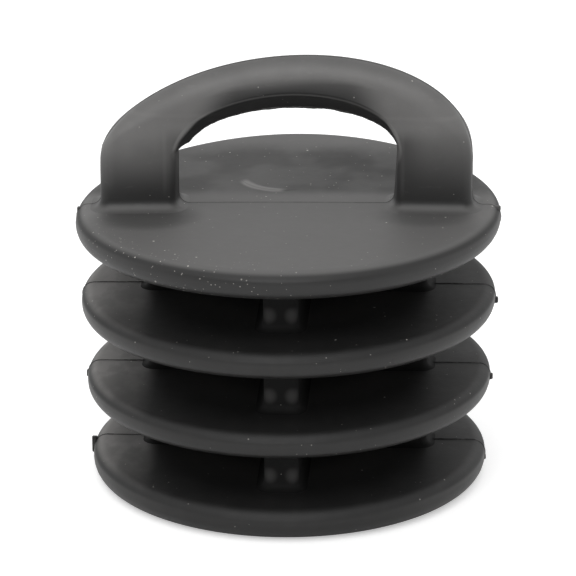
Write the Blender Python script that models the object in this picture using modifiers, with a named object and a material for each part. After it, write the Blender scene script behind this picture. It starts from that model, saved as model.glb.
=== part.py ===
"""Scupper plug: one soft rubber moulding with a grip arch, a cover flange and three sealing discs on
cross-shaped stems, modelled member by member. Lengths are in metres, +Z is up and X runs along the grip.
The origin is the centre of the underside of the lowest disc."""

import math

import bmesh
import bpy

# Clearance where one member of the moulding meets the next
MEMBER_GAP = 0.0003

# Cover flange and sealing discs
FLANGE_RADIUS = 0.0225
FLANGE_THICKNESS = 0.0032
DISC_STEP = 0.00047  # how much less each disc's radius is than that of the one above
DISC_THICKNESS = 0.0030
LOWER_DISC_THICKNESS = 0.0033
RIM_ROUNDING = 0.0012
DISC_PITCH = 0.00893  # from the top face of one disc to the top face of the next

# Cross-shaped stems between the discs, all as long as the lowest disc's free lip allows
SEALING_LIP = 0.0063
RIB_THICKNESS = 0.0036
RIB_CORNER_RADIUS = 0.0007
RIB_ROOT_RADIUS = 0.0012
STEM_FILLET = 0.0009
ROOT_SINK = 0.0010  # how deep the root above a stem reaches into its disc

# Grip arch, its heights measured from the top face of the flange
GRIP_INSET = 0.0029  # from the flange's edge to the outside of a leg
GRIP_HEIGHT = 0.0161
GRIP_DEPTH = 0.0046
LEG_WIDTH = 0.0079
CROWN_THICKNESS = 0.0052
OUTER_SPRING_SHARE = 0.286  # where the outside starts to curve, of the grip's height
INNER_SPRING_SHARE = 0.55  # where the inside starts to curve, of the opening's height
LEG_EDGE_RADIUS = 0.0010
CROWN_EDGE_SHARE = 0.95  # of half the section: the legs are square, the crown is nearly an oval bar
EDGE_GROWTH = math.radians(14), math.radians(34)  # how far up the arch the edges grow round
FOOT_FILLET = 0.0010
CROWN_SHIFT = 0.0020  # how far the crown of the soft arch leans towards +X
SHIFT_POWER = 1.25

# Thin ridge that the mould leaves under the arch, in the plane where its halves meet
RIDGE_DEPTH = 0.0005  # at the crown
RIDGE_SIDE_DEPTH = 0.0006  # where the arch springs from the legs
RIDGE_SHIFT = 0.0004  # how far its lower edge lies towards +X
RIDGE_THICKNESS = 0.0008
RIDGE_ROOT = 0.0010  # how deep it is rooted in the arch

# Colours and roughness of the matt black rubber
GRIP_COLOUR, GRIP_ROUGHNESS = (0.026, 0.026, 0.027), 0.45
FLANGE_COLOUR, FLANGE_ROUGHNESS = (0.027, 0.026, 0.026), 0.45
DISC_COLOUR, DISC_ROUGHNESS = (0.024, 0.024, 0.025), 0.50
STEM_COLOUR, STEM_ROUGHNESS = (0.020, 0.020, 0.021), 0.55

# Facets
TURN_STEPS = 72
ARC_STEPS = 5
CORNER_STEPS = 5
FLARE_STEPS = 4
ARCH_STEPS = 36
SHARP_ANGLE = math.radians(35)
MERGE_DISTANCE = 0.00001

# Heights of the top faces, worked out from the lowest disc upwards
LOWER_DISC_TOP = LOWER_DISC_THICKNESS
MIDDLE_DISC_TOP = LOWER_DISC_TOP + DISC_PITCH
UPPER_DISC_TOP = MIDDLE_DISC_TOP + DISC_PITCH
FLANGE_TOP = UPPER_DISC_TOP + DISC_PITCH

# Radii, worked out from the flange downwards
UPPER_DISC_RADIUS = FLANGE_RADIUS - DISC_STEP
MIDDLE_DISC_RADIUS = UPPER_DISC_RADIUS - DISC_STEP
LOWER_DISC_RADIUS = MIDDLE_DISC_RADIUS - DISC_STEP
RIB_REACH = LOWER_DISC_RADIUS - SEALING_LIP

# The grip's two outlines: half spans, springing heights and rises of the outside and the inside
OUTER_HALF_SPAN = FLANGE_RADIUS - GRIP_INSET
INNER_HALF_SPAN = OUTER_HALF_SPAN - LEG_WIDTH
OPENING_HEIGHT = GRIP_HEIGHT - CROWN_THICKNESS
OUTER_SPRING = OUTER_SPRING_SHARE * GRIP_HEIGHT
INNER_SPRING = INNER_SPRING_SHARE * OPENING_HEIGHT
OUTER_RISE = GRIP_HEIGHT - OUTER_SPRING
INNER_RISE = OPENING_HEIGHT - INNER_SPRING
ARCH_ANGLES = [math.pi * i / ARCH_STEPS for i in range(ARCH_STEPS + 1)]


def clear_scene():
    for old in list(bpy.data.objects):
        bpy.data.objects.remove(old, do_unlink=True)


def new_collection(name):
    collection = bpy.data.collections.new(name)
    bpy.context.scene.collection.children.link(collection)
    return collection


def rubber(name, colour, roughness):
    material = bpy.data.materials.new(name)
    material.use_nodes = True
    shader = material.node_tree.nodes["Principled BSDF"]
    shader.inputs["Base Color"].default_value = (*colour, 1)
    shader.inputs["Roughness"].default_value = roughness
    shader.inputs["Metallic"].default_value = 0
    return material


def add_object(name, mesh, collection, material, height):
    """Puts a mesh in the scene as a named member, standing on the given height."""
    mesh.materials.append(material)
    member = bpy.data.objects.new(name, mesh)
    member.location = (0, 0, height)
    collection.objects.link(member)
    return member


def arc(centre, radius, start, end, steps):
    """Points of a circular arc in a plane, its angles in degrees."""
    angles = [math.radians(start + (end - start) * i / steps) for i in range(steps + 1)]
    return [(centre[0] + radius * math.cos(a), centre[1] + radius * math.sin(a)) for a in angles]


def turned_disc(name, radius, thickness, height, collection, material):
    """A disc with a rounded rim, standing on a height: half its section, turned about Z."""
    rounding = min(RIM_ROUNDING, thickness / 2)
    rim = radius - rounding
    upper_arc = arc((rim, thickness - rounding), rounding, 90, 0, ARC_STEPS)
    lower_arc = arc((rim, rounding), rounding, 0, -90, ARC_STEPS)
    if thickness - 2 * rounding < MERGE_DISTANCE:
        lower_arc = lower_arc[1:]
    section = [(0, thickness), *upper_arc, *lower_arc, (0, 0)]
    mesh = bpy.data.meshes.new(name)
    edges = [(i, i + 1) for i in range(len(section) - 1)]
    mesh.from_pydata([(x, 0, z) for x, z in section], edges, [])
    disc = add_object(name, mesh, collection, material, height)
    turn = disc.modifiers.new("turn", "SCREW")
    turn.axis = "Z"
    turn.angle = math.tau
    turn.steps = TURN_STEPS
    turn.render_steps = TURN_STEPS
    turn.use_merge_vertices = True
    turn.merge_threshold = MERGE_DISTANCE
    turn.use_smooth_shade = True
    return disc


def flare(fillet, gap):
    """Heights and outward offsets of a fillet's section, from a gap at its foot up to where it ends."""
    start = math.acos(max(0, 1 - gap / fillet))
    angles = [start + (math.pi / 2 - start) * i / FLARE_STEPS for i in range(FLARE_STEPS + 1)]
    return [(fillet * (1 - math.cos(a)), fillet * (1 - math.sin(a))) for a in angles]


def lofted_mesh(name, rings):
    """A closed body through rings with equal numbers of points, with a flat face at each end."""
    mesh = bpy.data.meshes.new(name)
    bm = bmesh.new()
    loops = [[bm.verts.new(point) for point in ring] for ring in rings]
    for first, second in zip(loops, loops[1:]):
        for i in range(len(first)):
            j = (i + 1) % len(first)
            bm.faces.new((first[i], first[j], second[j], second[i]))
    bm.faces.new(loops[0])
    bm.faces.new(loops[-1])
    bmesh.ops.recalc_face_normals(bm, faces=bm.faces)
    bm.to_mesh(mesh)
    bm.free()
    mesh.shade_smooth()
    mesh.set_sharp_from_angle(angle=SHARP_ANGLE)
    return mesh


def cross_outline(offset):
    """The stem's cross-shaped section, moved outwards all round by an offset."""
    reach = RIB_REACH + offset
    side = RIB_THICKNESS / 2 + offset
    corner = RIB_CORNER_RADIUS + offset
    root = RIB_ROOT_RADIUS - offset
    arm = arc((reach - corner, corner - side), corner, -90, 0, CORNER_STEPS)
    arm += arc((reach - corner, side - corner), corner, 0, 90, CORNER_STEPS)
    arm += arc((side + root, side + root), root, -90, -180, CORNER_STEPS)
    outline = []
    for _ in range(4):
        outline += arm
        arm = [(-y, x) for x, y in arm]
    return outline


def stem(name, foot, head, collection, material):
    """A cross-shaped stem, flared where it stands on the disc below and cut square under the root above."""
    levels = flare(STEM_FILLET, MEMBER_GAP) + [(head - STEM_FILLET - MEMBER_GAP - foot, 0)]
    rings = [[(x, y, z) for x, y in cross_outline(offset)] for z, offset in levels]
    return add_object(name, lofted_mesh(name, rings), collection, material, foot)


def join(member, other):
    """Unites a member with a solid from the guides."""
    other.hide_render = True
    other.display_type = "WIRE"
    union = member.modifiers.new(other.name, "BOOLEAN")
    union.operation = "UNION"
    union.solver = "EXACT"
    union.object = other


def stem_root(disc, guides):
    """The flared root from which a stem grows out of a disc's underside, joined to the disc."""
    levels = [(ROOT_SINK, STEM_FILLET)] + [(-z, offset) for z, offset in flare(STEM_FILLET, 0)]
    rings = [[(x, y, z) for x, y in cross_outline(offset)] for z, offset in levels]
    root = bpy.data.objects.new(disc.name + "_root", lofted_mesh(disc.name + "_root", rings))
    root.location = disc.location
    guides.objects.link(root)
    join(disc, root)


def crown_lean(x, z):
    """Where a point of the upright arch lies once the crown leans over."""
    rise = max(0, (z - OUTER_SPRING) / OUTER_RISE)
    return x + CROWN_SHIFT * rise**SHIFT_POWER


def grip_section(inner, outer, spread, rise_angle):
    """One section of the grip between a point of its inside and one of its outside, with edges that
    are the rounder the further up the arch it lies."""
    width = math.dist(inner, outer)
    along = ((outer[0] - inner[0]) / width, (outer[1] - inner[1]) / width)
    middle = ((inner[0] + outer[0]) / 2, (inner[1] + outer[1]) / 2)
    start, end = EDGE_GROWTH
    growth = min(1, max(0, (rise_angle - start) / (end - start)))
    crown_edge = CROWN_EDGE_SHARE * min(GRIP_DEPTH, width) / 2
    edge = LEG_EDGE_RADIUS + growth * (crown_edge - LEG_EDGE_RADIUS) + spread
    across = width / 2 - edge
    deep = GRIP_DEPTH / 2 + spread - edge
    flat = []
    for turn, (side_u, side_v) in enumerate(((1, 1), (-1, 1), (-1, -1), (1, -1))):
        flat += arc((side_u * across, side_v * deep), edge, 90 * turn, 90 * turn + 90, CORNER_STEPS)
    ring = []
    for u, v in flat:
        x = middle[0] + u * along[0]
        z = middle[1] + u * along[1]
        ring.append((crown_lean(x, z), v, z))
    return ring


def half_ellipse(half_span, rise, spring):
    """Points of an upright arch from its left springing to its right one."""
    return [(-half_span * math.cos(a), spring + rise * math.sin(a)) for a in ARCH_ANGLES]


def grip_arch(name, collection, material, guides):
    """The grip: two flared legs and the arch between them, with the thin ridge under its crown."""
    left_leg, right_leg = [
        [grip_section((side * (INNER_HALF_SPAN - d), z), (side * (OUTER_HALF_SPAN + d), z), d, 0)
         for z, d in flare(FOOT_FILLET, MEMBER_GAP)]
        for side in (-1, 1)
    ]
    outside = half_ellipse(OUTER_HALF_SPAN, OUTER_RISE, OUTER_SPRING)
    inside = half_ellipse(INNER_HALF_SPAN, INNER_RISE, INNER_SPRING)
    rise_angles = [min(a, math.pi - a) for a in ARCH_ANGLES]
    arch = [grip_section(low, high, 0, a) for low, high, a in zip(inside, outside, rise_angles)]
    rings = left_leg + arch + right_leg[::-1]
    grip = add_object(name, lofted_mesh(name, rings), collection, material, FLANGE_TOP)
    join(grip, mould_ridge("ridge_under_crown", guides))
    return grip


def mould_ridge(name, guides):
    """The ridge as a thin flat plate in the XZ plane, rooted in the arch above it."""
    lower = half_ellipse(INNER_HALF_SPAN - RIDGE_SIDE_DEPTH, INNER_RISE - RIDGE_DEPTH, INNER_SPRING)
    upper = half_ellipse(INNER_HALF_SPAN + RIDGE_ROOT, INNER_RISE + RIDGE_ROOT, INNER_SPRING)
    outline = [(x + RIDGE_SHIFT, z) for x, z in lower] + upper[::-1]
    curve = bpy.data.curves.new(name, "CURVE")
    curve.dimensions = "2D"
    curve.fill_mode = "BOTH"
    curve.extrude = RIDGE_THICKNESS / 2
    spline = curve.splines.new("POLY")
    spline.points.add(len(outline) - 1)
    for point, (x, z) in zip(spline.points, outline):
        point.co = (crown_lean(x, z), z, 0, 1)
    spline.use_cyclic_u = True
    drawn = bpy.data.objects.new(name, curve)
    drawn.location = (0, 0, FLANGE_TOP)
    drawn.rotation_euler = (math.pi / 2, 0, 0)
    guides.objects.link(drawn)
    bpy.context.view_layer.update()
    mesh = bpy.data.meshes.new_from_object(drawn.evaluated_get(bpy.context.evaluated_depsgraph_get()))
    bm = bmesh.new()
    bm.from_mesh(mesh)
    bmesh.ops.remove_doubles(bm, verts=bm.verts, dist=MERGE_DISTANCE)
    bm.to_mesh(mesh)
    bm.free()
    ridge = bpy.data.objects.new(name, mesh)
    ridge.matrix_world = drawn.matrix_world.copy()
    guides.objects.link(ridge)
    bpy.data.objects.remove(drawn)
    return ridge


def build():
    clear_scene()
    plug = new_collection("scupper_plug")
    guides = new_collection("guides")
    flange_rubber = rubber("flange_rubber", FLANGE_COLOUR, FLANGE_ROUGHNESS)
    disc_rubber = rubber("disc_rubber", DISC_COLOUR, DISC_ROUGHNESS)
    stem_rubber = rubber("stem_rubber", STEM_COLOUR, STEM_ROUGHNESS)

    grip_arch("grip_arch", plug, rubber("grip_rubber", GRIP_COLOUR, GRIP_ROUGHNESS), guides)
    discs = (
        ("cover_flange", FLANGE_RADIUS, FLANGE_THICKNESS, FLANGE_TOP, flange_rubber),
        ("upper_sealing_disc", UPPER_DISC_RADIUS, DISC_THICKNESS, UPPER_DISC_TOP, disc_rubber),
        ("middle_sealing_disc", MIDDLE_DISC_RADIUS, DISC_THICKNESS, MIDDLE_DISC_TOP, disc_rubber),
    )
    for name, radius, thickness, top, material in discs:
        stem_root(turned_disc(name, radius, thickness, top - thickness, plug, material), guides)
    turned_disc("lower_sealing_disc", LOWER_DISC_RADIUS, LOWER_DISC_THICKNESS, 0, plug, disc_rubber)
    stems = (
        ("upper_stem", UPPER_DISC_TOP, FLANGE_TOP - FLANGE_THICKNESS),
        ("middle_stem", MIDDLE_DISC_TOP, UPPER_DISC_TOP - DISC_THICKNESS),
        ("lower_stem", LOWER_DISC_TOP, MIDDLE_DISC_TOP - DISC_THICKNESS),
    )
    for name, foot, head in stems:
        stem(name, foot, head, plug, stem_rubber)


build()
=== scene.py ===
"""Looks of a scupper plug of soft black rubber: a grip arch over a cover flange, and three sealing discs on
cross-shaped stems. They are built round the plug's solids. X runs along the grip and +Z is up."""

import math
from collections import namedtuple
from contextlib import contextmanager

import bmesh
import bpy
from mathutils import Matrix, Vector, noise


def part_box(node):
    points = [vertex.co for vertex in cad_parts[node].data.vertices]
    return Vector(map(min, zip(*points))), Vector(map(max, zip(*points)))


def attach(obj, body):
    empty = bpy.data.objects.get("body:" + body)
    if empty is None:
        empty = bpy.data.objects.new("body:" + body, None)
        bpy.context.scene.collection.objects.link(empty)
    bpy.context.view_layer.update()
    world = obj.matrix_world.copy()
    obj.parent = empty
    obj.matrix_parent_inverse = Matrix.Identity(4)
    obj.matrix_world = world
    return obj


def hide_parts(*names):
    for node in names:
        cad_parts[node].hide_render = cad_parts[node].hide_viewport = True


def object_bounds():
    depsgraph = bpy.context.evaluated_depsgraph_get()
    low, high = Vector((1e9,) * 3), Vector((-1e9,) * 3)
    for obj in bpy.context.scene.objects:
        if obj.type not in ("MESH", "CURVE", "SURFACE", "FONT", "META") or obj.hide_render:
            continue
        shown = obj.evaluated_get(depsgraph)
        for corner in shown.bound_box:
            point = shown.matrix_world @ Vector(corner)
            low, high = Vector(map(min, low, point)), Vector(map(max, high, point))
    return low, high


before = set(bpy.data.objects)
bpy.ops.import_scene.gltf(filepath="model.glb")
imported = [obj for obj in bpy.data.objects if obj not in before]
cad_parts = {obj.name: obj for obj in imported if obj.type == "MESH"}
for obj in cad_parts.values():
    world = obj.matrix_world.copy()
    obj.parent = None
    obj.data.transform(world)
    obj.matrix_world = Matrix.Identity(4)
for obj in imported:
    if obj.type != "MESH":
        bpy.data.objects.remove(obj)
cad_low, cad_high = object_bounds()

MM = 0.001
NEAR = 0.01 * MM  # places closer than this are the same
SMOOTH_ANGLE = math.radians(35)

# The flange and the discs below it: thickness, rounding of the rim above and below, and the tabs that were trimmed
# at the rim, each with its side, its height above the rim's middle and its size, in millimetres
Disc = namedtuple("Disc", "name node slot thickness roundings tabs")
DISCS = (
    Disc("flange", "cover_flange", "flange_rubber", 3.2 * MM, (1.3 * MM, 1.85 * MM), (
        (-1, 1.05, (0.35, 0.5, 0.5)), (1, 1.20, (0.7, 0.5, 0.55)),
    )),
    Disc("upper_disc", "upper_sealing_disc", "disc_rubber", 3.0 * MM, (1.25 * MM, 1.65 * MM), (
        (1, -0.23, (0.7, 0.6, 0.7)),
    )),
    Disc("middle_disc", "middle_sealing_disc", "disc_rubber", 3.0 * MM, (1.25 * MM, 1.65 * MM), (
        (-1, 0.0, (0.45, 0.4, 0.8)), (1, 0.0, (0.6, 0.5, 0.7)),
    )),
    Disc("lower_disc", "lower_sealing_disc", "disc_rubber", 3.35 * MM, (1.4 * MM, 1.75 * MM), (
        (-1, 0.5, (0.6, 0.4, 1.9)), (1, -0.3, (0.3, 0.4, 0.5)),
    )),
)
RIM_FACETS = 192
RIM_STEPS = 8
FACE_RINGS = 9
HOLDING_RING = 0.15 * MM  # keeps the flat face flat up to its rounded rim

# The cross-shaped stems under the flange and the two upper discs, and the solids that they replace
STEMS = ("upper_core", "upper_stem"), ("middle_core", "middle_stem"), ("lower_core", "lower_stem")
RIB_REACH = 14.8 * MM
RIB_THICKNESS = 3.6 * MM
RIB_CORNER = 0.7 * MM
RIB_ROOT = 1.2 * MM
STEM_FILLET = 0.9 * MM
SINK = 0.2 * MM  # how deep a stem or a foot of the grip reaches into the disc that carries it

# The grip, its heights measured from the flange's top face
OUTER_HALF_SPAN, OUTER_SPRING, OUTER_RISE = 19.6 * MM, 4.6 * MM, 11.45 * MM
INNER_HALF_SPAN, INNER_SPRING, INNER_RISE = 11.7 * MM, 6.0 * MM, 6.3 * MM
KEEL_HALF_SPAN, KEEL_SHIFT, KEEL_RISE = 11.1 * MM, 0.4 * MM, 4.45 * MM
GRIP_SHIFT = -0.15 * MM
GRIP_DEPTH = 4.6 * MM
FOOT_FILLET = 1.15 * MM
LEG_EDGE, CROWN_EDGE = 1.0 * MM, 2.29 * MM  # rounding of the outer edges
CROWN_STRETCH = 1.22  # how much taller than deep the crown's rounding is
LEG_CREASE, CROWN_CREASE = 0.7 * MM, 0.35 * MM  # rounding of the inner edges
LEG_KEEL = 0.08 * MM  # how far the inside of a leg bulges to the mould's parting plane
CROWN_NARROWING = 0.86  # of the grip's depth, at the creases under the crown
EDGE_GROWTH = math.radians(14), math.radians(34)  # how far up the arch its outer edges grow round
KEEL_GROWTH = math.radians(-2), math.radians(9)  # and how far up its inside grows into a keel
SHOULDER_SWELLING = 0.32 * MM  # of the left shoulder's outside
SHOULDER_PEAK, SHOULDER_END = math.radians(12), math.radians(48)
CROWN_LEAN = 2.2 * MM
LEAN_POWER = 1.4
ARCH_RINGS = 72
FILLET_STEPS = 6
CORNER_STEPS = 8
CREASE_STEPS = 4

# How the soft plug has settled at four heights: height, sinking and droop at the ends in millimetres, then
# the tilt along the grip
SETTLING = (
    (1.6, 0.09, -0.06, 0.002),
    (10.7, 0.32, 0.02, 0.011),
    (19.7, 0.22, 0.10, 0.011),
    (28.5, 0.16, 0.22, 0.016),
)
SIDE_SHIFT = -0.0015
FRONT_LEVELLING = 0.6  # share of the tilt that is gone at the front edge
BACK_LIFT = 0.70  # of the flange's back edge, in millimetres
CAGE_SIZE = 64 * MM
CAGE_POINTS = 9, 7, 17

# What the mould has left: beads along its parting plane, a ragged flash under the crown and a round gate mark.
# Waves are pairs of a share and a size.
LINE_CUTS = 3
BEAD, DISC_BEAD = 0.10 * MM, 0.15 * MM
BEAD_STEPS = 2
BEAD_WAVES = (0.3, 2.3 * MM), (0.2, 0.7 * MM)
TAB_ROUNDING = 0.3  # of a tab's least side
FLASH_END, FLASH_BREADTH = 0.4 * MM, 1.5 * MM  # how far it is traced down the legs, and beside the keel
FLASH_THICKNESS = 0.14 * MM
FLASH_ROOT, FLASH_HANG = 0.12 * MM, 0.02 * MM
FLASH_DROP = 0.10 * MM  # of its ragged edge, which varies by as much again
FLASH_WAVES = (1.0, 1.6 * MM), (0.4, 0.5 * MM)
GATE_MARK_PLACE, GATE_MARK_RADIUS = (-0.6 * MM, 8.8 * MM), 5.0 * MM
GATE_MARK_WIDTH, GATE_MARK_DEPTH = 2.4 * MM, 1.125 * MM
GATE_MARK_BEARING = math.radians(242)
GATE_MARK_LOW, GATE_MARK_GROWTH = 0.92, (0.55, 0.98)
GATE_MARK_FACETS = 160

# The rubber's tones: as moulded, and the paler tone that paints light, glints and sheen, and wear and torn rubber on
# the stems and lines
GRIP_TONES = (0.014, 0.0138, 0.0136), (0.156, 0.153, 0.150)
FLANGE_TONES = (0.016, 0.0157, 0.0155), (0.170, 0.167, 0.164)
DISC_TONES = (0.008, 0.0079, 0.0078), (0.200, 0.193, 0.186)
STEM_TONES = (0.012, 0.0118, 0.0117), (0.100, 0.098, 0.096)
# Line tones: dark, a paler copy that carries the painted light of the flange and the grip onto their beads, and torn
LINE_TONE, PAINTED_LIGHT_LINE_TONE, TORN_TONE = (0.008, 0.0078, 0.0077), (0.060, 0.0585, 0.057), (0.110, 0.106, 0.103)
DUST_TONE = (0.50, 0.48, 0.45)
MOTTLING = 1.45  # how much paler the rubber's paler mottles are
STEM_GLOSS = 0.15

# Camera, fitted to the photographed outline
CAMERA_ELEVATION = math.radians(20.6)
CAMERA_AZIMUTH = math.radians(3.4)
CAMERA_ROLL = math.radians(0.22)
CAMERA_DISTANCE = 485 * MM
CAMERA_TARGET = Vector((0, 0, 15.64 * MM))
FRAME_PIXELS = 576
FOCAL_PIXELS = 4537
IMAGE_CENTRE = 289.0, 328.7
SENSOR_WIDTH = 36
NEAREST_SEEN = 10 * MM

# Soft square lamps: place and size in metres, and radiance, where 1 is the radiance of a white room
LAMPS = (
    ((-0.15, -0.10, 1.10), 0.80, 0.9),
    ((-0.10, -0.85, 0.80), 0.80, 2.3),
)
ROOM_IN_FRONT, ROOM_BEHIND = 0.40, 0.45  # radiance of the whole room, and what is added behind the plug
ROOM_TURN = -0.9, 0.1
FLOOR_SIZE = 8
FLOOR_TONE = 0.85, 0.85, 0.85, 1
FLOOR_GLOW = 0.45  # what makes the lit floor white in the camera's eye


# Working by hand: selections, edit mode and finishing
def make_active(piece):
    bpy.ops.object.select_all(action="DESELECT")
    piece.select_set(True)
    bpy.context.view_layer.objects.active = piece


@contextmanager
def editing(piece):
    make_active(piece)
    bpy.ops.object.mode_set(mode="EDIT")
    yield
    bpy.ops.object.mode_set(mode="OBJECT")


def pick_all():
    bpy.ops.mesh.select_all(action="SELECT")


def pick(kind, test):
    """Selects the vertices, edges or faces of the edited piece that pass a test."""
    shape = bmesh.from_edit_mesh(bpy.context.edit_object.data)
    parts = {"VERT": shape.verts, "EDGE": shape.edges, "FACE": shape.faces}[kind]
    chosen = [part for part in parts if test(part)]
    bpy.ops.mesh.select_mode(type=kind)
    bpy.ops.mesh.select_all(action="DESELECT")
    for part in chosen:
        part.select_set(True)
    shape.select_flush_mode()
    bmesh.update_edit_mesh(bpy.context.edit_object.data)


def scale_along(axis, factor):
    bpy.ops.transform.resize(value=[factor if i == axis else 1 for i in range(3)])


def raise_by(height):
    bpy.ops.transform.translate(value=(0, 0, height))


def apply_modifiers(piece):
    make_active(piece)
    for modifier in list(piece.modifiers):
        bpy.ops.object.modifier_apply(modifier=modifier.name)


def joined(pieces):
    bpy.ops.object.select_all(action="DESELECT")
    for piece in pieces:
        piece.select_set(True)
    bpy.context.view_layer.objects.active = pieces[0]
    if len(pieces) > 1:
        bpy.ops.object.join()
    return bpy.context.object


def settle(piece):
    """Puts a piece's place into its mesh and lets it settle with the plug."""
    make_active(piece)
    bpy.ops.object.transform_apply(location=True, rotation=True, scale=True)
    piece.modifiers.new("settle", "LATTICE").object = settling_cage()
    apply_modifiers(piece)
    return piece


def finish_piece(piece, name, finish, slot, nodes=()):
    """Gives a piece its name, faces that point outwards, its finish and its body."""
    piece.name = piece.data.name = name
    with editing(piece):
        pick_all()
        bpy.ops.mesh.normals_make_consistent(inside=False)
    bpy.ops.object.shade_smooth_by_angle(angle=SMOOTH_ANGLE)
    piece.data.materials.clear()
    piece.data.materials.append(finish)
    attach(piece, "root")
    if nodes:
        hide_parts(*nodes)
    return piece


def smooth_share(value, start, end):
    """From 0 at the start to 1 at the end, smoothly."""
    share = min(1, max(0, (value - start) / (end - start)))
    return share**2 * (3 - 2 * share)


def ragged(place, waves):
    """How far a torn edge strays at a place: the sum of its waves, about 0 on average."""
    return sum(share * noise.noise(place / size) for share, size in waves)


# How the soft plug has settled under its own weight
def settled(place):
    """How far a point of the upright plug has moved in the soft one."""
    x, y, z = place / MM
    steps = list(zip(SETTLING, SETTLING[1:]))
    below, above = next((pair for pair in steps if z < pair[1][0]), steps[-1])
    share = min(1, max(0, (z - below[0]) / (above[0] - below[0])))
    sinking, droop, tilt = [a + share * (b - a) for a, b in zip(below[1:], above[1:])]
    across, back = x / (cad_high.x / MM), y / (cad_high.y / MM)
    level = min(1, max(0, z / SETTLING[-1][0]))
    lift = BACK_LIFT * level**3 * max(0, back) ** 2 * max(0, 1 - across**2)
    slant = tilt * x * (1 + level**3 * FRONT_LEVELLING * min(0, back))
    return Vector((SIDE_SHIFT * z, 0, slant + lift - sinking - droop * across**2)) * MM


def settling_cage():
    """A cage round the whole plug that carries the settling to every piece."""
    cage = bpy.data.objects.get("settling_cage")
    if cage:
        return cage
    bpy.ops.object.add(type="LATTICE", location=(0, 0, cad_high.z / 2))
    cage = bpy.context.object
    cage.name = "settling_cage"
    cage.scale = [CAGE_SIZE] * 3
    cage.data.points_u, cage.data.points_v, cage.data.points_w = CAGE_POINTS
    bpy.context.view_layer.update()
    for point in cage.data.points:
        place = cage.matrix_world @ point.co
        point.co_deform = cage.matrix_world.inverted() @ (place + settled(place))
    return cage


# The flange, the discs and the stems
def make_disc(disc, finish):
    """A disc with a rounded rim, shaped from a cylinder."""
    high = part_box(disc.node)[1]
    bpy.ops.mesh.primitive_cylinder_add(
        vertices=RIM_FACETS, radius=high.x, depth=disc.thickness, location=(0, 0, high.z - disc.thickness / 2)
    )
    piece = bpy.context.object
    with editing(piece):
        for side, rounding in zip((1, -1), disc.roundings):
            level = side * disc.thickness / 2
            pick("EDGE", lambda edge: all(abs(vert.co.z - level) < NEAR for vert in edge.verts))
            bpy.ops.mesh.bevel(offset=rounding, segments=RIM_STEPS, profile=0.5)
            pick("FACE", lambda face: len(face.verts) > 4 and side * face.normal.z > 0)
            bpy.ops.mesh.inset(thickness=HOLDING_RING)
            ring = (high.x - rounding - HOLDING_RING) / (FACE_RINGS + 1)
            for _ in range(FACE_RINGS):
                bpy.ops.mesh.inset(thickness=ring)
            bpy.ops.mesh.merge(type="COLLAPSE")
    return finish_piece(settle(piece), disc.name, finish, disc.slot, [disc.node])


def draw_cross(side, reach, corner, root):
    """Makes a grid of three by three, two units wide, into a flat cross with rounded corners and roots."""
    pick("FACE", lambda face: min(abs(middle) for middle in face.calc_center_median().xy) > 0.5)
    bpy.ops.mesh.delete(type="FACE")
    for axis in range(2):
        pick("VERT", lambda vert: abs(vert.co[axis]) < 0.5)
        scale_along(axis, side * 3)
        pick("VERT", lambda vert: abs(vert.co[axis]) > 0.5)
        scale_along(axis, reach)
    pick_all()
    bpy.ops.mesh.dissolve_faces()
    pick("VERT", lambda vert: max(abs(vert.co.x), abs(vert.co.y)) > reach - NEAR)
    bpy.ops.mesh.bevel(offset=corner, segments=CORNER_STEPS, affect="VERTICES")
    pick("VERT", lambda vert: max(abs(vert.co.x), abs(vert.co.y)) < side + NEAR)
    bpy.ops.mesh.bevel(offset=root, segments=CORNER_STEPS, affect="VERTICES")


def stem(name, node, foot, head, finish):
    """A cross-shaped stem that flows into the discs above and below: its lower half, mirrored."""
    half = (head - foot) / 2
    bpy.ops.mesh.primitive_grid_add(x_subdivisions=3, y_subdivisions=3, size=2, location=(0, 0, foot + half))
    piece = bpy.context.object
    with editing(piece):
        draw_cross(
            RIB_THICKNESS / 2 + STEM_FILLET, RIB_REACH + STEM_FILLET, RIB_CORNER + STEM_FILLET, RIB_ROOT - STEM_FILLET
        )
        pick_all()
        raise_by(-half - SINK)
        bpy.ops.mesh.extrude_region_move(TRANSFORM_OT_translate={"value": (0, 0, SINK)})
        for i in range(FILLET_STEPS):
            a, b = (math.pi / 2 * step / FILLET_STEPS for step in (i, i + 1))
            width, rise = STEM_FILLET * (math.sin(b) - math.sin(a)), STEM_FILLET * (math.cos(a) - math.cos(b))
            bpy.ops.mesh.inset(thickness=width, depth=rise)
        bpy.ops.mesh.extrude_region_move(TRANSFORM_OT_translate={"value": (0, 0, half - STEM_FILLET)})
        bpy.ops.mesh.delete(type="ONLY_FACE")
    mirror = piece.modifiers.new("upper_half", "MIRROR")
    mirror.use_axis = False, False, True
    mirror.merge_threshold = NEAR
    apply_modifiers(piece)
    return finish_piece(settle(piece), name, finish, "stem_rubber", [node])


# The grip
def leaned(x, z):
    """Where a point of the upright arch lies once its crown leans over."""
    rise = max(0, (z - OUTER_SPRING) / OUTER_RISE)
    return Vector((x + GRIP_SHIFT + CROWN_LEAN * rise**LEAN_POWER, 0, z))


def on_keel(inner, outer):
    """How far inwards from the inner point the line of a section meets the keel's half ellipse."""
    inwards = (inner - outer).normalized()
    depth = 0
    while depth < CROWN_EDGE:
        x, _, z = inner + inwards * depth
        x -= leaned(0, z).x + KEEL_SHIFT
        if (x / KEEL_HALF_SPAN) ** 2 + ((z - INNER_SPRING) / KEEL_RISE) ** 2 < 1:
            break
        depth += NEAR
    return depth


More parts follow.
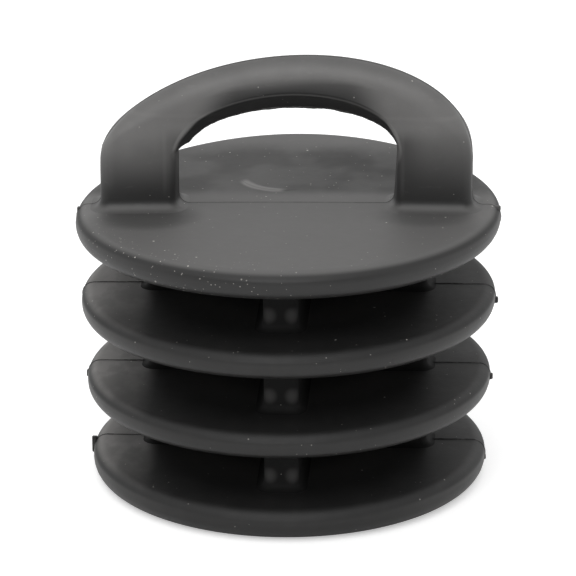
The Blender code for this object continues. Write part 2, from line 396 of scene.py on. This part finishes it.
def grip_section(inner, outer, spread, angle):
    """One section of the grip, drawn flat, then set up between a point of its inside and one of its outside."""
    roundness = smooth_share(min(angle, math.pi - angle), *EDGE_GROWTH)
    keel = smooth_share(min(angle, math.pi - angle), *KEEL_GROWTH)
    depth = LEG_KEEL + keel * (on_keel(inner, outer) - LEG_KEEL) if keel else LEG_KEEL
    stretch = 1 + roundness * (CROWN_STRETCH - 1)
    line = outer - inner
    width = line.length / stretch
    bpy.ops.mesh.primitive_plane_add(size=1)
    ring = bpy.context.object
    with editing(ring):
        pick_all()
        bpy.ops.transform.resize(value=(width, GRIP_DEPTH + 2 * spread, 1))
        pick("EDGE", lambda edge: max(vert.co.x for vert in edge.verts) < 0)
        bpy.ops.mesh.subdivide(number_cuts=1)
        pick("VERT", lambda vert: abs(vert.co.y) < NEAR)
        bpy.ops.transform.translate(value=(-depth / stretch, 0, 0))
        pick("VERT", lambda vert: vert.co.x < 0 and abs(vert.co.y) > NEAR)
        scale_along(1, 1 + roundness * (CROWN_NARROWING - 1))
        crease = LEG_CREASE + keel * (CROWN_CREASE - LEG_CREASE) + spread
        bpy.ops.mesh.bevel(offset=crease, segments=CREASE_STEPS, affect="VERTICES")
        pick("VERT", lambda vert: vert.co.x > width / 2 - NEAR)
        edge = LEG_EDGE + roundness * (CROWN_EDGE - LEG_EDGE) + spread
        bpy.ops.mesh.bevel(offset=edge, segments=CORNER_STEPS, affect="VERTICES")
        pick_all()
        scale_along(0, stretch)
        bpy.ops.mesh.delete(type="ONLY_FACE")
    ring.location = (inner + outer) / 2
    ring.rotation_euler = (0, math.atan2(-line.z, line.x), 0)
    return ring


def foot_sections(side):
    """The sections of a leg's foot, which flares out to the flange in a fillet."""
    levels = [(-SINK, FOOT_FILLET)]
    for i in range(FILLET_STEPS + 1):
        a = math.pi / 2 * i / FILLET_STEPS
        levels.append((FOOT_FILLET * (1 - math.cos(a)), FOOT_FILLET * (1 - math.sin(a))))
    return [
        grip_section(leaned(side * (INNER_HALF_SPAN - d), z), leaned(side * (OUTER_HALF_SPAN + d), z), d, 0)
        for z, d in levels
    ]


def arch_sections():
    """The sections of the grip from one springing of the arch to the other, swollen at the left shoulder."""
    sections = []
    for i in range(ARCH_RINGS + 1):
        a = math.pi * i / ARCH_RINGS
        inner = leaned(-INNER_HALF_SPAN * math.cos(a), INNER_SPRING + INNER_RISE * math.sin(a))
        outer = leaned(-OUTER_HALF_SPAN * math.cos(a), OUTER_SPRING + OUTER_RISE * math.sin(a))
        swelling = smooth_share(a, 0, SHOULDER_PEAK) * (1 - smooth_share(a, SHOULDER_PEAK, SHOULDER_END))
        outer.x -= SHOULDER_SWELLING * swelling
        sections.append(grip_section(inner, outer, 0, a))
    return sections


def grip(base, finish):
    """The grip: its sections from foot to foot, bridged and closed."""
    piece = joined(foot_sections(-1) + arch_sections() + foot_sections(1)[::-1])
    bpy.ops.object.transform_apply(location=True, rotation=True, scale=True)
    with editing(piece):
        pick_all()
        bpy.ops.mesh.bridge_edge_loops()
        pick("EDGE", lambda edge: edge.is_boundary)
        bpy.ops.mesh.edge_face_add()
        pick_all()
        raise_by(base)
    return finish_piece(settle(piece), "grip", finish, "grip_rubber", ["grip_arch"])


# What the mould has left: beads along its parting plane, trimmed tabs, a ragged flash and a gate mark
def parting_loop(piece):
    """The line in which the mould's parting plane, the XZ plane, cuts a finished piece."""
    make_active(piece)
    bpy.ops.object.duplicate()
    line = bpy.context.object
    for key in [key for key in line.keys() if key.startswith("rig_")]:
        del line[key]
    line.data.materials.clear()
    with editing(line):
        pick_all()
        bpy.ops.mesh.bisect(
            plane_co=(0, -NEAR, 0), plane_no=(0, 1, 0), clear_inner=True, clear_outer=True, threshold=NEAR / 10
        )
        pick_all()
        bpy.ops.mesh.subdivide(number_cuts=LINE_CUTS)
    return line


def bead(line, thickness, swelling):
    """A thin bead of rubber along a line, swelling from place to place."""
    make_active(line)
    bpy.ops.object.convert(target="CURVE")
    curve = bpy.context.object
    curve.data.bevel_depth = thickness / 2
    curve.data.bevel_resolution = BEAD_STEPS
    for spline in curve.data.splines:
        for point in spline.points:
            point.radius = swelling(point.co.xyz)
    bpy.ops.object.convert(target="MESH")
    return bpy.context.object


def tab(disc, side, height, size):
    """A small trimmed tab on a disc's rim, at a height above the middle of the rim."""
    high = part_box(disc.node)[1]
    rounding = disc.roundings[0] if height > 0 else disc.roundings[1]
    above = max(0, abs(height * MM) - (disc.thickness / 2 - rounding))
    reach = high.x - rounding + math.sqrt(rounding**2 - above**2)
    place = (side * reach, 0, high.z - disc.thickness / 2 + height * MM)
    bpy.ops.mesh.primitive_cube_add(size=1, location=place)
    piece = bpy.context.object
    piece.scale = Vector(size) * MM
    bpy.ops.object.transform_apply(location=False, rotation=False, scale=True)
    with editing(piece):
        pick_all()
        bpy.ops.mesh.bevel(offset=min(size) * MM * TAB_ROUNDING, segments=2, affect="EDGES")
    return settle(piece)


def parting_line(piece, slot, finish, thickness, disc=None):
    """The bead round a piece's section and, on a disc, the tabs that were trimmed at its rim."""
    line = bead(parting_loop(piece), thickness, lambda place: 1 + ragged(place, BEAD_WAVES))
    tabs = [tab(disc, *values) for values in disc.tabs] if disc else []
    return finish_piece(joined([line, *tabs]), piece.name + "_parting_line", finish, slot)


def crown_flash(piece, base, finish):
    """The ragged thin flash that hangs from the keel under the crown."""
    def on_inside(vert):
        x, z = vert.co.x - CROWN_LEAN / 2, vert.co.z - base - INNER_SPRING
        return z > -FLASH_END and (x / (KEEL_HALF_SPAN + FLASH_BREADTH)) ** 2 + (z / INNER_RISE) ** 2 < 1

    line = parting_loop(piece)
    with editing(line):
        pick("VERT", lambda vert: not on_inside(vert))
        bpy.ops.mesh.delete(type="VERT")
        pick_all()
        raise_by(FLASH_ROOT)
        bpy.ops.mesh.extrude_edges_move(TRANSFORM_OT_translate={"value": (0, 0, -FLASH_ROOT - FLASH_HANG)})
        shape = bmesh.from_edit_mesh(line.data)
        for vert in shape.verts:
            if vert.select:
                vert.co.z -= FLASH_DROP * (1 + ragged(vert.co, FLASH_WAVES))
        bmesh.update_edit_mesh(line.data)
    thicken = line.modifiers.new("thickness", "SOLIDIFY")
    thicken.thickness = FLASH_THICKNESS
    thicken.offset = 0
    apply_modifiers(line)
    return finish_piece(line, "crown_flash", finish, "grip_rubber")


def gate_mark(base, finish):
    """The low crescent ridge at the edge of a round mark behind the grip."""
    def swelling(place):
        nearness = math.cos(math.atan2(place.y, place.x) - GATE_MARK_BEARING)
        return GATE_MARK_LOW + (1 - GATE_MARK_LOW) * smooth_share(nearness, *GATE_MARK_GROWTH)

    bpy.ops.mesh.primitive_circle_add(vertices=GATE_MARK_FACETS, radius=GATE_MARK_RADIUS)
    line = bead(bpy.context.object, GATE_MARK_WIDTH, swelling)
    line.location = (*GATE_MARK_PLACE, base - GATE_MARK_DEPTH)
    return finish_piece(settle(line), "gate_mark", finish, "flange_rubber")


# Finishes: sums of values that vary over the surface
class Value:
    """A number that varies over a surface, which can be written in sums."""

    def __init__(self, nodes, socket):
        self.nodes, self.socket = nodes, socket

    def sum(self, operation, *numbers):
        return self.nodes.add("ShaderNodeMath", dict(enumerate(numbers)), operation=operation)

    def __add__(self, other):
        return self.sum("ADD", self, other)

    def __sub__(self, other):
        return self.sum("SUBTRACT", self, other)

    def __rsub__(self, other):
        return self.sum("SUBTRACT", other, self)

    def __mul__(self, other):
        return self.sum("MULTIPLY", self, other)

    def __truediv__(self, other):
        return self.sum("DIVIDE", self, other)

    def __mod__(self, other):
        return self.sum("MODULO", self, other)

    def __pow__(self, other):
        return self.sum("POWER", self, other)

    __radd__, __rmul__ = __add__, __mul__

    def least(self, other):
        return self.sum("MINIMUM", self, other)

    def most(self, other):
        return self.sum("MAXIMUM", self, other)

    def size(self):
        return self.sum("ABSOLUTE", self)

    def below(self, other):
        """1 where this is less than the other, else 0."""
        return self.sum("LESS_THAN", self, other)

    def between(self, start, end):
        """From 0 at the start to 1 at the end, smoothly."""
        ends = {"Value": self, "From Min": start, "From Max": end}
        return self.nodes.add("ShaderNodeMapRange", ends, interpolation_type="SMOOTHSTEP")


class Nodes:
    """The nodes of one finish."""

    def __init__(self, tree):
        self.tree = tree

    def add(self, kind, inputs, output=0, **settings):
        """Adds a node: its settings first, then its inputs, and gives one of its outputs as a value."""
        node = self.tree.nodes.new(kind)
        for name, setting in settings.items():
            setattr(node, name, setting)
        self.feed(node, inputs)
        return Value(self, node.outputs[output])

    def feed(self, node, inputs):
        """Gives a node's inputs their numbers, colours or values."""
        for name, given in inputs.items():
            if isinstance(given, Value):
                self.tree.links.new(given.socket, node.inputs[name])
            else:
                node.inputs[name].default_value = given


class Rubber(Nodes):
    """A black rubber finish, with its patterns at their real sizes in millimetres."""

    def __init__(self, name):
        self.material = bpy.data.materials.new(name)
        self.material.use_nodes = True
        super().__init__(self.material.node_tree)
        self.shader = self.tree.nodes["Principled BSDF"]
        metres = self.add("ShaderNodeTexCoord", {}, output="Object")
        self.place = self.add("ShaderNodeVectorMath", {0: metres, 1: [1 / MM] * 3}, operation="MULTIPLY")
        self.x, self.y, self.z = [self.add("ShaderNodeSeparateXYZ", {0: self.place}, output=i) for i in range(3)]
        self.from_axis = (self.x**2 + self.y**2) ** 0.5
        facing = self.add("ShaderNodeTexCoord", {}, output="Normal")
        self.upward = self.add("ShaderNodeSeparateXYZ", {0: facing}, output=2)

    def cloud(self, size, detail=3, seed=0, stretch=(1, 1, 1)):
        """Cloudy noise from about 0.3 to 0.7, whose patches are about this size."""
        place = self.add("ShaderNodeVectorMath", {0: self.place, 1: stretch, 2: [seed] * 3}, operation="MULTIPLY_ADD")
        return self.add("ShaderNodeTexNoise", {"Vector": place, "Scale": 1 / size, "Detail": detail})

    def specks(self, spacing, radius, share, seed):
        """Specks of about a radius, one in each cell of a spacing, in a share of the cells."""
        place = self.add("ShaderNodeVectorMath", {0: self.place, 1: [seed] * 3}, operation="ADD")
        cells = {"Vector": place, "Scale": 1 / spacing}
        distance = self.add("ShaderNodeTexVoronoi", cells, output="Distance")
        colour = self.add("ShaderNodeTexVoronoi", cells, output="Color")
        chance, size = [self.add("ShaderNodeSeparateColor", {0: colour}, output=i) for i in range(2)]
        edge = (size * 0.7 + 0.5) * (radius / spacing)
        return distance.below(edge) * chance.below(share)

    def blend(self, share, tone, other):
        mixed = {"Factor": share, 6: tone, 7: other}
        return self.add("ShaderNodeMix", mixed, output=2, data_type="RGBA")

    def distance(self, x, y):
        """How far away an upright line is, in millimetres."""
        return ((self.x - x / MM) ** 2 + (self.y - y / MM) ** 2) ** 0.5

    def patch(self, x, y, width, depth):
        """A soft-edged oval patch on a level face, 1 in its middle, its place and size in millimetres."""
        return 1 - (((self.x - x) / width) ** 2 + ((self.y - y) / depth) ** 2).between(0.2, 1.0)

    def finish(self, tones, paleness, roughness, dustiness):
        """Joins tones, paleness, roughness, grain and dust into the shader, and gives the material."""
        # The paler tone: painted light on the grip, flange and discs, painted glints and wear on the stems, torn
        # rubber on the lines
        moulded, painted_light_and_wear = tones
        broad = self.cloud(6, seed=3)
        fine = self.cloud(0.9, detail=4, seed=11)
        grain = self.cloud(0.22, detail=2, seed=23)
        dust = self.specks(0.5, 0.08, dustiness, seed=5) * 0.5
        lint = self.specks(1.2, 0.11, dustiness * 1.2, seed=17)
        dirt = (dust + lint).least(1.0)
        mottles = (broad - 0.35) * 0.5 + (fine - 0.35) * 0.6
        mottled = self.blend(mottles, (*moulded, 1), [part * MOTTLING for part in moulded] + [1])
        clouded = self.blend(paleness, mottled, (*painted_light_and_wear, 1))
        relief = grain * 0.010 + fine * 0.010 + broad * 0.02 + dirt * 0.03  # in millimetres
        self.feed(self.shader, {
            "Base Color": self.blend(dirt * 0.85, clouded, (*DUST_TONE, 1)),
            "Roughness": roughness + (broad - 0.5) * 0.12 + (fine - 0.5) * 0.10 + dirt * 0.3,
            "Normal": self.add("ShaderNodeBump", {"Strength": 1.0, "Distance": MM, "Height": relief}),
        })
        return self.material


def grip_rubber(base):
    """Dark at the feet and painted paler up the legs and over the arch: painted light, with painted highlights along
    its edges and creases.
    """
    rubber = Rubber("grip_black_rubber")
    height = rubber.z - base / MM
    from_middle = (rubber.x - 0.5).size()
    flank = from_middle.between(5.5, 11.5)
    right = rubber.x.between(-5.0, 10.0)
    leg = 1 - height.between(7.0, 9.0)

    # Painted light: paler upwards, less on the very top and along the inner edges of the legs
    painted_light_and_wear = height.between(1.0, 7.6 + right * 4.0) * (rubber.upward + flank * 0.35).between(-0.22, 0.28)
    painted_light_and_wear *= 1 - rubber.upward.between(0.45, 0.95) * 0.37
    painted_light_and_wear *= 1 - (1 - from_middle.between(11.5, 14.5)) * leg * 0.45
    # Painted light on the flanks of the arch too, broken by random clouds
    clouds = 0.87 + flank * (1 - leg) * 0.11 + (rubber.cloud(4, seed=31) - 0.5) * 0.4
    # Painted light on the downward faces
    painted_underside_light = (-1 * rubber.upward).between(0.5, 0.95) * 0.03
    scuffs = rubber.cloud(1.6, detail=5, seed=7, stretch=(1, 1, 2.5)).between(0.60, 0.78) * 0.1
    # A painted highlight on the fillet round each foot
    foot = (1 - height.between(0.5, 1.5)) * rubber.upward.between(0.25, 0.80) * 0.45

    # Painted highlights along the edges of the legs, across the shoulders and along the creases of the arch
    edges = (1 - (from_middle - 13.4 + right * 1.8).size().between(0.05, 0.35)) + from_middle.between(18.5, 19.3)
    edges *= leg * height.between(0.5, 3.0) * (-1 * rubber.y).between(1.0, 1.5)
    shoulder_highlight = (1 - (height - 9.95).size().between(0.0, 0.35)) * flank
    lean = ((height - OUTER_SPRING / MM) / (OUTER_RISE / MM)).most(0.0) ** LEAN_POWER * (CROWN_LEAN / MM)
    across = (rubber.x - lean - GRIP_SHIFT / MM) / (INNER_HALF_SPAN / MM)
    up = (height - INNER_SPRING / MM) / (INNER_RISE / MM)
    crease = 1 - ((across**2 + up**2) ** 0.5 - 1.012).size().between(0.0, 0.028)
    crease *= height.between(4.5, 6.5) * rubber.y.size().between(1.2, 1.7)
    lines = shoulder_highlight * 0.10 + crease * (0.40 + flank * 0.2) + edges * 0.10

    paleness = (painted_light_and_wear * clouds + painted_underside_light + scuffs + lines + foot).least(1.0)
    return rubber.finish(GRIP_TONES, paleness, roughness=0.48, dustiness=0.03)


def flange_rubber():
    """Painted light on top, painted shade behind the grip and in front of the legs, a painted highlight at the gate
    mark, and dust along its front rim.
    """
    rubber = Rubber("flange_black_rubber")
    side = 1 - rubber.upward.between(0.30, 0.60)
    behind = rubber.y.between(1.5, 4.8) * (1 - rubber.y.between(15.0, 20.0))
    smudges = rubber.cloud(6.5, detail=2, seed=41).between(0.38, 0.62)

    # Painted light on top, a little less beside the legs, and a painted sheen at the front of the ends
    ends = rubber.x.size().between(16.5, 21.5)
    left_end = (-1 * rubber.x).between(17.5, 21.5)
    painted_end_sheen = rubber.y.between(-8.0, -3.0) * (ends * 0.16 + left_end * 0.14)
    painted_light_and_wear = rubber.upward.between(0.65, 0.99) * (0.59 - rubber.x.size().between(9.0, 16.0) * 0.08 + painted_end_sheen)
    # Painted shade behind the grip, under the leaning arch, broken by smudges
    painted_shade_and_smudges = 1 - behind * (0.46 + smudges * 0.16 + rubber.patch(9.0, 9.0, 13, 9) * 0.24)
    shaded = 1 - rubber.patch(-14.5, -4.5, 6.5, 5) * 0.55 - rubber.patch(14.5, -4.0, 6, 4) * 0.30

    # A painted highlight: the crescent at the front left of the gate mark
    crescent = 1 - (rubber.distance(*GATE_MARK_PLACE) - GATE_MARK_RADIUS / MM).size().between(0.1, 0.8)
    crescent *= rubber.patch(-3.3, 4.7, 3.1, 3.8)

    # The rim's sides paler towards the ends: a painted sheen
    paleness = painted_light_and_wear * painted_shade_and_smudges * shaded + crescent * 1.15 + side * rubber.x.size().between(8.0, 20.0) * 0.08
    roughness = 0.60 - side * 0.2 + behind * smudges * 0.1
    front_left = (1 - rubber.y.between(-12, 4)) * (1 - rubber.x.between(-8, 6))
    dustiness = 0.12 + rubber.from_axis.between(18.5, 21.0) * front_left * 0.8
    return rubber.finish(FLANGE_TONES, paleness, roughness, dustiness)


def disc_rubber():
    """Painted light on top near the left ends and in the gaps, a painted sheen on the rims, and dust on the rims."""
    rubber = Rubber("disc_black_rubber")
    side = 1 - rubber.upward.between(0.20, 0.50)
    scuffs = rubber.cloud(1.8, detail=5, seed=53, stretch=(1, 0.5, 1)).between(0.42, 0.72)
    # Painted light on the tops near the left ends, stronger outwards and towards the back, a little at the right
    # ends, broken by scuffs
    backward = 0.14 + rubber.y.between(-13.0, -8.0) * 0.22 + rubber.y.between(-9.0, -1.0) * 0.36
    outward = 1 + (-1 * rubber.x).between(16.5, 20.0) * 0.5
    left = (-1 * rubber.x).between(13.4, 15.6) * backward * outward
    right = rubber.x.between(14.0, 19.5) * 0.08
    painted_light_and_wear = rubber.upward.between(0.55, 0.98) * (right + left * (0.85 + scuffs * 0.4))
    # A painted sheen on the rim sides, palest towards the ends, and painted light deep in the gaps near the stems
    ends = rubber.x.size().between(10.0, 20.0)
    inside = 1 - rubber.from_axis.between(9.0, 15.0)
    paleness = painted_light_and_wear + side * (0.032 + ends * 0.078) + inside * 0.17 + scuffs * 0.015
    rim = rubber.from_axis.between(19.0, 20.8)
    return rubber.finish(DISC_TONES, paleness, roughness=0.58 - side * 0.2, dustiness=0.04 + rim * 0.06)


def stem_rubber(lowest_foot, spacing):
    """Almost unlit, with two soft glints where the front rib flows into each disc."""
    rubber = Rubber("stem_black_rubber")
    worn = rubber.cloud(2.2, detail=4, seed=61).between(0.50, 0.80) * 0.06
    height = (rubber.z - lowest_foot / MM) % (spacing / MM)
    glints = 1 - (((rubber.x.size() - 1.2) / 1.0) ** 2 + ((height - 1.45) / 1.1) ** 2).between(-0.4, 1.0)
    glints *= (-1 * rubber.y).between(13.0, 14.0)
    rubber.shader.inputs["Specular IOR Level"].default_value = STEM_GLOSS
    return rubber.finish(STEM_TONES, worn + glints * 0.7, roughness=0.65, dustiness=0.02)


def line_rubber(name, tone):
    """The torn rubber of the parting line and its tabs."""
    rubber = Rubber(name)
    torn = rubber.cloud(0.6, detail=3, seed=71).between(0.46, 0.70) * 0.6
    return rubber.finish((tone, TORN_TONE), torn, roughness=0.42, dustiness=0.02)


# Camera, floor and light
def place_camera():
    tilt, turn = CAMERA_ELEVATION, CAMERA_AZIMUTH
    ahead = Vector((-math.sin(turn) * math.cos(tilt), math.cos(turn) * math.cos(tilt), -math.sin(tilt)))
    right = Vector((math.cos(turn), math.sin(turn), 0))
    axes = Matrix((right, right.cross(ahead), -ahead)).transposed().to_4x4()
    place = Matrix.Translation(CAMERA_TARGET - CAMERA_DISTANCE * ahead)
    bpy.ops.object.camera_add()
    camera = bpy.context.object
    camera.matrix_world = place @ axes @ Matrix.Rotation(-CAMERA_ROLL, 4, "Z")
    camera.data.sensor_width = SENSOR_WIDTH
    camera.data.lens = SENSOR_WIDTH * FOCAL_PIXELS / FRAME_PIXELS
    camera.data.shift_x = (FRAME_PIXELS / 2 - IMAGE_CENTRE[0]) / FRAME_PIXELS
    camera.data.shift_y = (IMAGE_CENTRE[1] - FRAME_PIXELS / 2) / FRAME_PIXELS
    camera.data.clip_start = NEAREST_SEEN
    bpy.context.scene.camera = camera


def light_floor(height):
    """A pale floor, white in the camera's eye where it is lit, and darker in the plug's shadow."""
    bpy.ops.mesh.primitive_plane_add(size=FLOOR_SIZE, location=(0, 0, height))
    floor = bpy.context.object
    floor.name = "floor"
    material = bpy.data.materials.new("white_floor")
    material.use_nodes = True
    nodes = Nodes(material.node_tree)
    shader = nodes.tree.nodes["Principled BSDF"]
    nodes.feed(shader, {"Base Color": FLOOR_TONE, "Roughness": 0.9, "Specular IOR Level": 0.1})
    seen = nodes.add("ShaderNodeLightPath", {}, output="Is Camera Ray")
    glow = nodes.add("ShaderNodeEmission", {"Strength": seen * FLOOR_GLOW})
    lit = nodes.add("ShaderNodeAddShader", {0: Value(nodes, shader.outputs[0]), 1: glow})
    nodes.feed(nodes.tree.nodes["Material Output"], {"Surface": lit})
    floor.data.materials.append(material)


def light_room():
    """A room that is dimmer in front of the plug than behind it, with one soft lamp overhead and one in front."""
    world = bpy.data.worlds.new("pale_room")
    world.use_nodes = True
    nodes = Nodes(world.node_tree)
    seen = nodes.add("ShaderNodeLightPath", {}, output="Is Camera Ray")
    direction = nodes.add("ShaderNodeTexCoord", {}, output="Generated")
    ahead = nodes.add("ShaderNodeSeparateXYZ", {0: direction}, output="Y")
    room = ROOM_IN_FRONT + ROOM_BEHIND * ahead.between(*ROOM_TURN)
    strength = seen + (1 - seen) * room
    nodes.feed(nodes.tree.nodes["Background"], {"Color": (1, 1, 1, 1), "Strength": strength})
    bpy.context.scene.world = world
    for place, size, radiance in LAMPS:
        bpy.ops.object.light_add(type="AREA", location=place)
        lamp = bpy.context.object
        lamp.data.shape = "SQUARE"
        lamp.data.size = size
        lamp.data.energy = radiance * math.pi * size**2
        lamp.rotation_euler = Vector(place).to_track_quat("Z", "Y").to_euler()
        lamp.visible_camera = False
    bpy.context.scene.view_settings.view_transform = "Standard"


def build():
    tops = [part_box(disc.node)[1].z for disc in DISCS]
    finishes = {"flange_rubber": flange_rubber(), "disc_rubber": disc_rubber()}
    line_finish = line_rubber("trimmed_rubber", LINE_TONE)
    # A paler copy of the line's rubber for the beads on the flange and the grip: painted light
    painted_light_line_finish = line_rubber("painted_light_trimmed_rubber", PAINTED_LIGHT_LINE_TONE)
    lines = {"flange_rubber": (painted_light_line_finish, BEAD), "disc_rubber": (line_finish, DISC_BEAD)}
    for disc in DISCS:
        parting_line(make_disc(disc, finishes[disc.slot]), disc.slot, *lines[disc.slot], disc)

    stem_finish = stem_rubber(tops[-1], tops[-2] - tops[-1])
    for (name, node), above, head, foot in zip(STEMS, DISCS, tops, tops[1:]):
        stem(name, node, foot, head - above.thickness, stem_finish)

    made = grip(tops[0], grip_rubber(tops[0]))
    parting_line(made, "grip_rubber", painted_light_line_finish, BEAD)
    crown_flash(made, tops[0], line_finish)
    gate_mark(tops[0], finishes["flange_rubber"])
    bpy.data.objects.remove(bpy.data.objects["settling_cage"])


build()
seen_low, seen_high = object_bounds()
place_camera()
light_floor(seen_low.z)
light_room()
